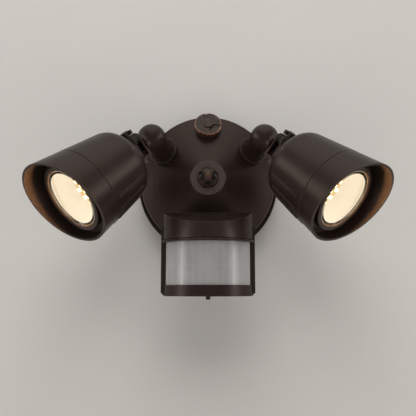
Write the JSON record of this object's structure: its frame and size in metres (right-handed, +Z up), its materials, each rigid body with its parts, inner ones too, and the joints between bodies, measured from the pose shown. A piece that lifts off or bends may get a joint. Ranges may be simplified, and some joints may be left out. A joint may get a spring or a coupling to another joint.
{
  "type": "motion sensor security light",
  "caption": "Wall-mounted security light with a domed canopy, hooded lamp heads on swivelling forked arms and a tilting motion sensor below.",
  "frame": {"origin": "centre of the mounting crossbar's back face, on the wall", "axes": "+Z up, +X to the viewer's right, -Y out of the wall towards the viewer; +Y is the wall's side"},
  "size_m": [0.2884, 0.1395, 0.171],
  "materials": {
    "bronze_casting": "satin",
    "bronze_steel": "satin",
    "zinc_steel": "satin",
    "rubbed_bronze": "gloss",
    "gasket_rubber": "matte",
    "lamp_glass": "gloss",
    "reflector_white": "gloss",
    "circuit_board": "matte",
    "led_phosphor": "matte",
    "bare_aluminium": "satin",
    "potting": "matte",
    "bronze_plastic": "satin",
    "fresnel_plastic": "satin",
    "sensor_circuit": "satin"
  },
  "bodies": {
    "fixture": {"canopy_cover": "bronze_casting", "cap_nut": "rubbed_bronze", "cap_nut_washer": "rubbed_bronze", "center_nipple": "zinc_steel", "closure_plug": "rubbed_bronze", "closure_plug_gasket": "gasket_rubber", "crossbar": "zinc_steel", "ground_screw": "zinc_steel", "nipple_nut": "zinc_steel", "sensor_elbow": "bronze_casting", "sensor_lock_nut": "zinc_steel", "wall_gasket": "gasket_rubber"},
    "left_arm": {"left_elbow": "bronze_casting", "left_lock_nut": "zinc_steel"},
    "left_fork": {"left_stirrup": "bronze_steel", "left_stirrup_rivet": "zinc_steel", "left_pivot_nut": "zinc_steel"},
    "left_clamp": {"left_clamp_knob": "bronze_plastic", "left_pivot_screw": "zinc_steel"},
    "left_head": {"left_housing": "bronze_casting", "left_hood": "bronze_casting", "left_bezel": "bronze_casting", "left_lens": "lamp_glass", "left_lens_gasket": "gasket_rubber", "left_reflector": "reflector_white", "left_led_board": "circuit_board", "left_led_chips": "led_phosphor", "left_heat_spreader": "bare_aluminium", "left_driver": "potting"},
    "right_arm": {"right_elbow": "bronze_casting", "right_lock_nut": "zinc_steel"},
    "right_fork": {"right_stirrup": "bronze_steel", "right_stirrup_rivet": "zinc_steel", "right_pivot_nut": "zinc_steel"},
    "right_clamp": {"right_clamp_knob": "bronze_plastic", "right_pivot_screw": "zinc_steel"},
    "right_head": {"right_housing": "bronze_casting", "right_hood": "bronze_casting", "right_bezel": "bronze_casting", "right_lens": "lamp_glass", "right_lens_gasket": "gasket_rubber", "right_reflector": "reflector_white", "right_led_board": "circuit_board", "right_led_chips": "led_phosphor", "right_heat_spreader": "bare_aluminium", "right_driver": "potting"},
    "sensor_fork": {"sensor_stirrup": "bronze_steel", "sensor_stirrup_rivet": "zinc_steel", "sensor_pivot_nut": "zinc_steel"},
    "sensor_clamp": {"sensor_clamp_knob": "bronze_plastic", "sensor_pivot_screw": "zinc_steel"},
    "sensor_head": {"sensor_back": "bronze_plastic", "sensor_hood": "bronze_plastic", "sensor_base": "bronze_plastic", "fresnel_lens": "fresnel_plastic", "sensor_board": "sensor_circuit", "pyro_sensor": "zinc_steel", "sensor_screws": "zinc_steel"},
    "dial": {"sensor_dial": "bronze_plastic"}
  },
  "joints": [
    {"name": "left_arm_swivel", "type": "hinge", "parent": "fixture", "child": "left_arm", "pos_m": [-0.03858, -0.0268, 0.02505], "axis": [-0.3277, -0.9205, 0.2128], "range_deg": [-90, 90]},
    {"name": "left_fork_swivel", "type": "hinge", "parent": "left_arm", "child": "left_fork", "pos_m": [-0.06193, -0.06431, 0.0191], "axis": [-0.6501, -0.4418, -0.6182], "range_deg": [-90, 90]},
    {"name": "left_head_tilt", "type": "hinge", "parent": "left_fork", "child": "left_head", "pos_m": [-0.06193, -0.06431, 0.0191], "axis": [-0.5241, -0.3284, 0.7858], "range_deg": [-45, 60]},
    {"name": "left_knob_turn", "type": "hinge", "parent": "left_fork", "child": "left_clamp", "pos_m": [-0.06193, -0.06431, 0.0191], "axis": [-0.5241, -0.3284, 0.7858], "continuous": true},
    {"name": "right_arm_swivel", "type": "hinge", "parent": "fixture", "child": "right_arm", "pos_m": [0.03858, -0.0268, 0.02505], "axis": [-0.3277, 0.9205, -0.2128], "range_deg": [-90, 90]},
    {"name": "right_fork_swivel", "type": "hinge", "parent": "right_arm", "child": "right_fork", "pos_m": [0.06193, -0.06431, 0.0191], "axis": [-0.6501, 0.4418, 0.6182], "range_deg": [-90, 90]},
    {"name": "right_head_tilt", "type": "hinge", "parent": "right_fork", "child": "right_head", "pos_m": [0.06193, -0.06431, 0.0191], "axis": [-0.5241, 0.3284, -0.7858], "range_deg": [-45, 60]},
    {"name": "right_knob_turn", "type": "hinge", "parent": "right_fork", "child": "right_clamp", "pos_m": [0.06193, -0.06431, 0.0191], "axis": [-0.5241, 0.3284, -0.7858], "continuous": true},
    {"name": "sensor_pan", "type": "hinge", "parent": "fixture", "child": "sensor_fork", "pos_m": [0, -0.0387, -0.06439], "axis": [0, 0, -1], "range_deg": [-35, 35]},
    {"name": "sensor_tilt", "type": "hinge", "parent": "sensor_fork", "child": "sensor_head", "pos_m": [0, -0.0387, -0.06439], "axis": [1, 0, 0], "range_deg": [-10, 45]},
    {"name": "sensor_knob_turn", "type": "hinge", "parent": "sensor_fork", "child": "sensor_clamp", "pos_m": [0, -0.0387, -0.06439], "axis": [1, 0, 0], "continuous": true},
    {"name": "dial_turn", "type": "hinge", "parent": "sensor_head", "child": "dial", "pos_m": [0, -0.0693, -0.06439], "axis": [0, 0, 1], "range_deg": [-135, 135]}
  ]
}
